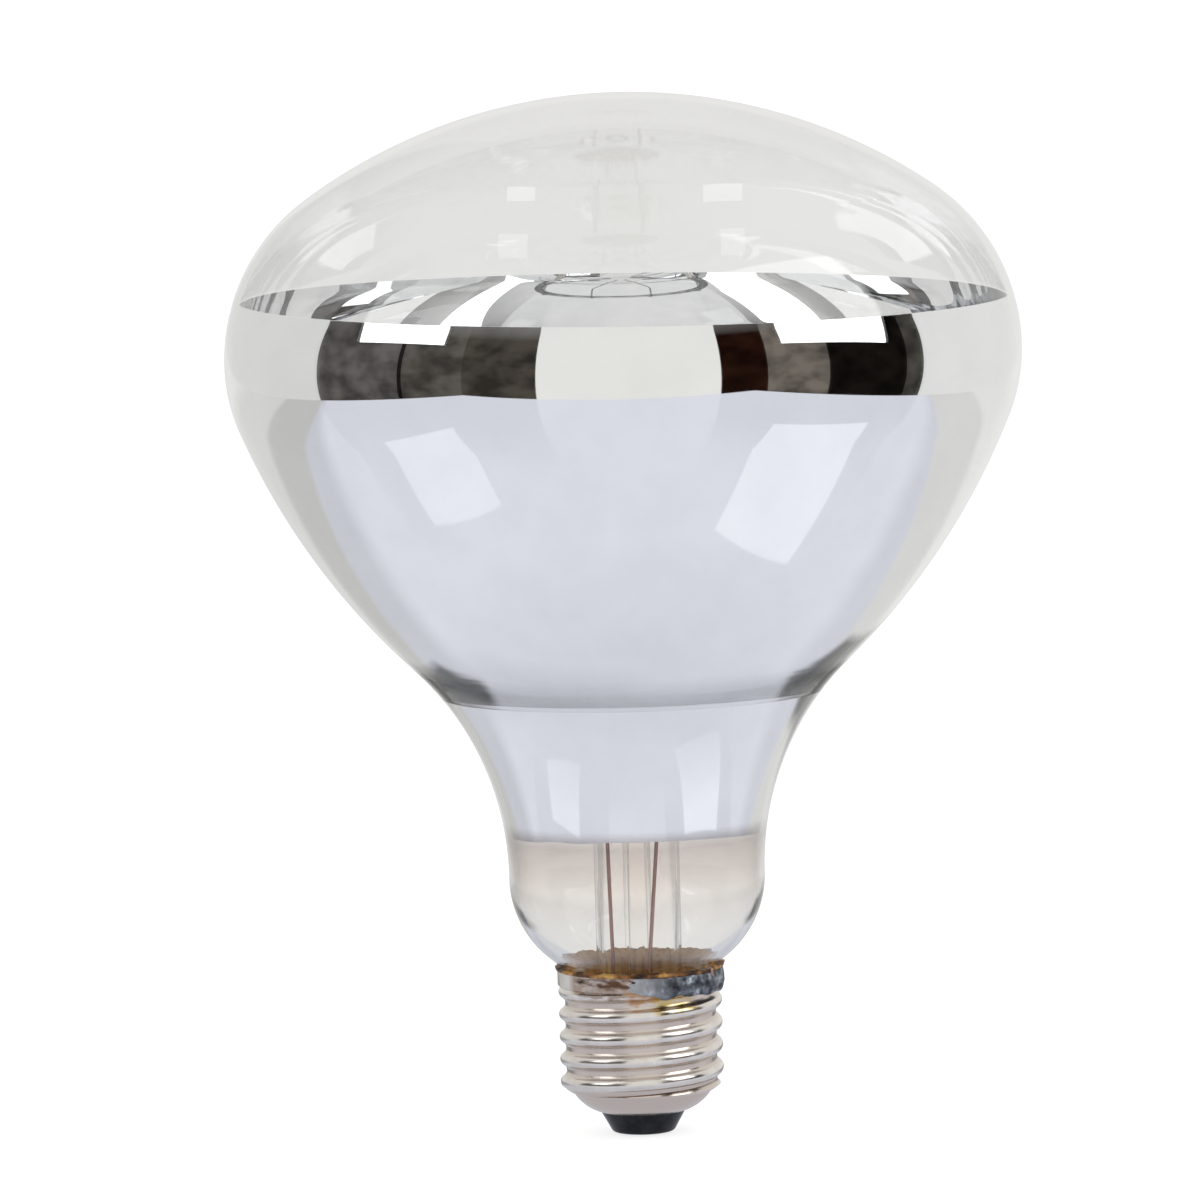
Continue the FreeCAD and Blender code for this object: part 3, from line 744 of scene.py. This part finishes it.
# studio: a pale table, two softboxes, a dark room in front and pale walls behind
studio = {
    "table": ((-0.64, -0.62), (0.46, 6.0)),  # metres, left front and right back corner
    "tableColour": (0.68, 0.697, 0.77),
    "backColours": [  # the pale sweep: metres to the right of the lamp, and the colour there
        (-0.09, (0.62, 0.62, 0.61)), (-0.05, (0.9, 0.893, 0.875)), (0.05, (0.9, 0.893, 0.875)),
        (0.09, (0.73, 0.73, 0.72)),
    ],
    "farColours": [(-0.09, (0.71, 0.71, 0.7)), (0.0, (0.7, 0.7, 0.685)), (0.12, (0.74, 0.74, 0.73))],
    "farFrom": (0.6, 0.9),  # metres behind the lamp
    "backLine": 0.052,  # metres behind the lamp where the sweep starts
    "backSoft": 0.004,
    "backSwell": (0.07, -0.05, 0.25),  # how far that line bows back, where, and over what width
    "shadeInner": (0.056, 0.064),  # from the axis, where the shade that mirrors show sets in at either side
    "shadeSpan": 0.05,  # from the axis, where values for the left and right hold in full
    "shadeEdge": (0.053, 0.056),  # its outer edge level with the lamp, on the left and right
    "shadeSoft": (0.002, -0.004),  # from that edge
    "shadeGrowth": 0.42,  # of that edge, for each metre further back
    "shadeMost": (0.0875, 0.098),  # how far out that goes on the left and right
    "shadeBack": (0.036, 0.42),  # metres behind the lamp
    "shadeBackSoft": 0.005,
    "shadeLag": 0.015,  # how much later it starts on the right
    "shadeTones": (0.1, 0.9),  # near and far
    "shadeFade": (0.05, 0.36),
    "capShade": 0.62,  # between those two, behind the cap
    "capSide": (0.068, 0.056),
    "capBack": (0.016, 0.3),
    "capBackSoft": 0.01,
    "capSteep": (0.32, 0.24),  # only flat rays show it
    "sideBack": (0.04, 0.25),  # the table beside it is dimmer too
    "sideSoft": 0.015,
    "sideSpan": 0.1,
    "sideTones": (0.79, 0.86),  # on the left and right
    "footSize": (0.0715, 0.06),  # shade round the cap, half its width and depth
    "footMiddle": (-0.008, 0.03),
    "footPower": 1.3,  # below 2 it is pointed in front
    "footFade": (0.694, 1.065),
    "footTone": 0.86,
    "domeShade": 0.7,  # the sweep as the dome's inside mirrors it
    "domeBack": (0.09, 0.13),
    "domeSide": (0.09, 0.07),
    "domeRise": (0.12, 0.15),  # metres above the table that such rays come from
    "gloss": 0.09,
    "glossRough": 0.04,
    "glossFrom": (0.04, 0.1),  # metres from the axis
    "glow": 0.78,  # floor's own white
    "matt": 0.355,  # what the lamp can shade
    "ambient": 0.95,
    "lampLight": 2.0,
    "ceiling": (0.8, 0.8, 0.79),
    "ceilingFrom": (22.0, 56.0),  # degrees above the horizon
    "room": [  # degrees from the front, 90 is the right; and the colour from there on
        (-180, (0.8, 0.795, 0.78)), (-170, (0.7, 0.7, 0.69)), (-101, (0.09, 0.084, 0.08)),
        (-69.5, (0.008, 0.007, 0.007)), (-67.5, (0.075, 0.068, 0.06)), (-48, (0.05, 0.043, 0.036)),
        (-26, (0.83, 0.825, 0.8)), (27, (0.014, 0.005, 0.003)), (41, (0.12, 0.105, 0.09)),
        (61, (0.006, 0.005, 0.004)), (90, (0.05, 0.047, 0.04)), (97, (0.78, 0.78, 0.77)),
        (170, (0.8, 0.795, 0.78)),
    ],
    "clutter": (0.6, 1.5),  # how unevenly the dark room is lit
    "clutterNoise": (7.0, 2.0),  # scale and detail
    "clutterSpread": (0.35, 0.65),
    "clutterBelow": (0.3, 0.2),  # brightness of the walls that have it
}
softboxes = {  # light, and corners in metres
    "left_softbox": (1.9, [
        (-0.677, -0.107, 0.293), (-1.03, -0.76, 0.52), (-1.045, -0.74, 1.6), (-0.683, -0.048, 0.645),
    ]),
    "right_softbox": (2.3, [
        (0.583, -0.563, 0.33), (0.628, -0.122, 0.214), (0.64, -0.011, 0.84), (0.563, -0.583, 1.3),
    ]),
}
backLamps = {  # small lamps high behind: corners in degrees from the front and above the horizon
    "left_back_lamp": [(-156.0, 56.3), (-159.4, 60.1), (-153.7, 64.8), (-150.0, 60.8)],
    "right_back_lamp": [(158.3, 60.9), (153.6, 55.6), (146.0, 60.9), (151.2, 66.5)],
    "left_top_lamp": [(-107.7, 68.7), (-101.5, 74.0), (-53.8, 66.0), (-67.5, 62.7)],
    "right_top_lamp": [(102.3, 72.6), (106.7, 68.2), (64.6, 60.9), (55.2, 64.0)],
}
lampDistance = 2.0  # metres from the crown


def lampCorner(turn, rise):
    az, el = math.radians(turn), math.radians(rise)
    way = Vector((math.cos(el) * math.sin(az), -math.cos(el) * math.cos(az), math.sin(el)))
    return way * lampDistance + Vector((0, 0, apexZ * mm))


def stagePiece(name, corners, finish):
    bm = bmesh.new()
    bmesh.ops.contextual_create(bm, geom=[bm.verts.new(c) for c in corners])
    mesh = bpy.data.meshes.new(name)
    bm.to_mesh(mesh)
    bm.free()
    mesh.materials.append(finish)
    piece = bpy.data.objects.new(name, mesh)
    scene.collection.objects.link(piece)
    return piece


def bareFinish(name):
    finish = bpy.data.materials.new(name)
    finish.use_nodes = True
    finish.node_tree.nodes.clear()
    return finish, finish.node_tree


def endWith(tree, shader, kind="ShaderNodeOutputMaterial"):
    tree.links.new(shader.outputs[0], addNode(tree, kind).inputs["Surface"])


def addShaders(tree, a, b):
    return addNode(tree, "ShaderNodeAddShader", {0: a.outputs[0], 1: b.outputs[0]})


def glowFinish(name, light, firstOnly=False):  # firstOnly shows in the outer glass alone
    finish, tree = bareFinish(name)
    glow = addNode(tree, "ShaderNodeEmission", {"Strength": light})
    if firstOnly:
        depth = addNode(tree, "ShaderNodeLightPath").outputs["Ray Depth"]
        first = reckon(tree, "LESS_THAN", depth, 1.5)
        clear = addNode(tree, "ShaderNodeBsdfTransparent")
        glow = addNode(tree, "ShaderNodeMixShader", {0: first, 1: clear.outputs[0], 2: glow.outputs[0]})
    endWith(tree, glow)
    return finish


def litTable(tree, x, y):  # the table's colour, the pale sweep behind and the dimmer sides
    left, right = studio["table"][0][0], studio["table"][1][0]
    across = fromRange(tree, x, left, right)
    wide = right - left
    near, far = [blendStops(tree, across, [((spot - left) / wide, colour) for spot, colour in stops])
                 for stops in (studio["backColours"], studio["farColours"])]
    sweep = mixColours(tree, fromRange(tree, y, *studio["farFrom"]), near, far)
    swell, swellX, swellWidth = studio["backSwell"]
    off = reckon(tree, "DIVIDE", reckon(tree, "SUBTRACT", x, swellX), swellWidth)
    bow = reckon(tree, "EXPONENT", times(tree, off, off, -1.0))
    line = reckon(tree, "SUBTRACT", y, times(tree, bow, swell))
    start, soft = studio["backLine"], studio["backSoft"]
    seen = mixColours(tree, fromRange(tree, line, start - soft, start + soft), studio["tableColour"], sweep)
    span = studio["sideSpan"]
    dimmed = dim(tree, seen, fromRange(tree, x, -span, span, *studio["sideTones"]))
    return mixColours(tree, insideBand(tree, y, *studio["sideBack"], studio["sideSoft"]), seen, dimmed)


def mirrorShade(tree, seen, x, y, mirrored):  # the lamp's shade, the cap's and the dome's, for mirrored rays
    span = studio["shadeSpan"]
    edge, most, lag = [fromRange(tree, x, -span, span, *ends) for ends in
                       (studio["shadeEdge"], studio["shadeMost"], (0.0, studio["shadeLag"]))]
    late = reckon(tree, "SUBTRACT", y, lag)
    edge = reckon(tree, "ADD", times(tree, late, studio["shadeGrowth"]), edge)
    edge = reckon(tree, "MINIMUM", edge, most)
    side = reckon(tree, "ABSOLUTE", x)
    within = times(tree, fromRange(tree, reckon(tree, "SUBTRACT", side, edge), *studio["shadeSoft"]),
                   fromRange(tree, side, *studio["shadeInner"]),
                   insideBand(tree, late, *studio["shadeBack"], studio["shadeBackSoft"]), mirrored)
    shaded = dim(tree, seen, fromRange(tree, late, *studio["shadeFade"], *studio["shadeTones"]))
    seen = mixColours(tree, within, seen, shaded)
    incoming = addNode(tree, "ShaderNodeNewGeometry").outputs["Incoming"]
    back, steep = addNode(tree, "ShaderNodeSeparateXYZ", {"Vector": incoming}).outputs[1:]
    nearCap = times(tree, fromRange(tree, side, *studio["capSide"]),
                    insideBand(tree, y, *studio["capBack"], studio["capBackSoft"]),
                    fromRange(tree, steep, *studio["capSteep"]), mirrored)
    seen = dim(tree, seen, fromRange(tree, nearCap, 0.0, 1.0, 1.0, studio["capShade"]))
    rise = reckon(tree, "DIVIDE", times(tree, steep, y), times(tree, back, -1.0))
    inDome = times(tree, fromRange(tree, y, *studio["domeBack"]), fromRange(tree, side, *studio["domeSide"]),
                   fromRange(tree, rise, *studio["domeRise"]), mirrored)
    return dim(tree, seen, fromRange(tree, inDome, 0.0, 1.0, 1.0, studio["domeShade"]))


def footShade(tree, seen, x, y):  # round the cap
    out, back = [reckon(tree, "DIVIDE", reckon(tree, "SUBTRACT", spot, middle), size)
                 for spot, middle, size in zip((x, y), studio["footMiddle"], studio["footSize"])]
    out = reckon(tree, "POWER", reckon(tree, "ABSOLUTE", out), studio["footPower"])
    far = reckon(tree, "ADD", out, times(tree, back, back))
    return dim(tree, seen, fromRange(tree, far, *studio["footFade"], studio["footTone"], 1.0))


def tableFinish():  # white to the camera, a pale glossy table to the glass and metal
    finish, tree = bareFinish("tableTop")
    place = addNode(tree, "ShaderNodeTexCoord").outputs["Object"]
    x, y = addNode(tree, "ShaderNodeSeparateXYZ", {"Vector": place}).outputs[:2]
    rays = addNode(tree, "ShaderNodeLightPath").outputs
    mirrored = reckon(tree, "GREATER_THAN", rays["Glossy Depth"], 0.5)
    seen = footShade(tree, mirrorShade(tree, litTable(tree, x, y), x, y, mirrored), x, y)
    reflected = addNode(tree, "ShaderNodeEmission", {"Color": seen})
    away = addNode(tree, "ShaderNodeVectorMath", {0: place}, operation="LENGTH").outputs["Value"]
    shine = fromRange(tree, away, *studio["glossFrom"], 0.0, studio["gloss"])
    gloss = addNode(tree, "ShaderNodeBsdfGlossy", {"Roughness": studio["glossRough"], "Color": shine})
    polished = addShaders(tree, reflected, gloss)
    glow = addNode(tree, "ShaderNodeEmission", {"Strength": studio["glow"]})
    matt = addNode(tree, "ShaderNodeBsdfDiffuse", {"Color": (*(studio["matt"],) * 3, 1)})
    white = addShaders(tree, glow, matt)
    endWith(tree, addNode(tree, "ShaderNodeMixShader",
                          {0: rays["Is Camera Ray"], 1: polished.outputs[0], 2: white.outputs[0]}))
    return finish


def makeWorld():
    world = bpy.data.worlds.new("studioRoom")
    scene.world = world
    world.use_nodes = True
    world.cycles.sampling_method = "NONE"
    tree = world.node_tree
    tree.nodes.clear()
    way = addNode(tree, "ShaderNodeTexCoord").outputs["Generated"]
    x, y, z = addNode(tree, "ShaderNodeSeparateXYZ", {"Vector": way}).outputs
    turn = reckon(tree, "ARCTAN2", x, times(tree, y, -1.0))
    share = fromRange(tree, turn, -math.pi, math.pi)
    room = blendStops(tree, share, [((d + 180) / 360, c) for d, c in studio["room"]], "CONSTANT")
    scale, detail = studio["clutterNoise"]
    clutter = addNode(tree, "ShaderNodeTexNoise", {"Vector": way, "Scale": scale, "Detail": detail})
    spread = fromRange(tree, clutter.outputs["Fac"], *studio["clutterSpread"], *studio["clutter"])
    bright = addNode(tree, "ShaderNodeRGBToBW", {"Color": room}).outputs["Val"]
    room = mixColours(tree, fromRange(tree, bright, *studio["clutterBelow"]), room, dim(tree, room, spread))
    low, high = [math.radians(d) for d in studio["ceilingFrom"]]
    shown = mixColours(tree, fromRange(tree, reckon(tree, "ARCSINE", z), low, high), room, studio["ceiling"])
    rays = addNode(tree, "ShaderNodeLightPath").outputs
    soft = reckon(tree, "GREATER_THAN", rays["Diffuse Depth"], 0.5)
    lit = mixColours(tree, soft, shown, (studio["ambient"],) * 3)
    colour = mixColours(tree, rays["Is Camera Ray"], lit, (1.0, 1.0, 1.0))
    endWith(tree, addNode(tree, "ShaderNodeBackground", {"Color": colour}), "ShaderNodeOutputWorld")


def makeStudio():
    (left, front), (right, back) = studio["table"]
    floorZ = cadBounds[0].z
    corners = [(left, front, floorZ), (right, front, floorZ), (right, back, floorZ), (left, back, floorZ)]
    stagePiece("table_top", corners, tableFinish())
    for name, (light, corners) in softboxes.items():
        stagePiece(name, corners, glowFinish(name + "_cloth", light)).visible_camera = False
    bulbLight = glowFinish("backLampGlass", studio["lampLight"], True)
    for name, corners in backLamps.items():
        lamp = stagePiece(name, [lampCorner(turn, rise) for turn, rise in corners], bulbLight)
        lamp.visible_camera = False
        lamp.visible_diffuse = False
        lamp.visible_transmission = False
    makeWorld()
    print("studio: table, softboxes and room")


makeStudio()

# camera: photo's viewing angle
shot = {
    "back": 1.6,  # metres in front of the lamp
    "height": 0.25557,
    "aimHeight": 0.08727,
    "lens": 302.5,  # mm
    "sensor": 36.0,
    "sight": 100.0,  # metres
    "roll": -1.54,  # degrees
    "shift": (-0.0245, -0.0076),
}


def makeCamera():
    data = bpy.data.cameras.new("photo_camera")
    data.sensor_width = shot["sensor"]
    data.lens = shot["lens"]
    data.shift_x, data.shift_y = shot["shift"]
    data.clip_end = shot["sight"]
    camera = bpy.data.objects.new("photo_camera", data)
    camera.location = (0, -shot["back"], shot["height"])
    way = Vector((0, 0, shot["aimHeight"])) - camera.location
    turn = way.to_track_quat("-Z", "Y").to_matrix()
    roll = Matrix.Rotation(math.radians(shot["roll"]), 3, "Z")
    camera.rotation_euler = (turn @ roll).to_euler()
    scene.collection.objects.link(camera)
    scene.camera = camera


makeCamera()
scene.view_settings.view_transform = "Standard"
scene.cycles.max_bounces = 32
scene.cycles.glossy_bounces = 24
scene.cycles.transmission_bounces = 24
scene.cycles.sample_clamp_indirect = 6.0
print("camera set")
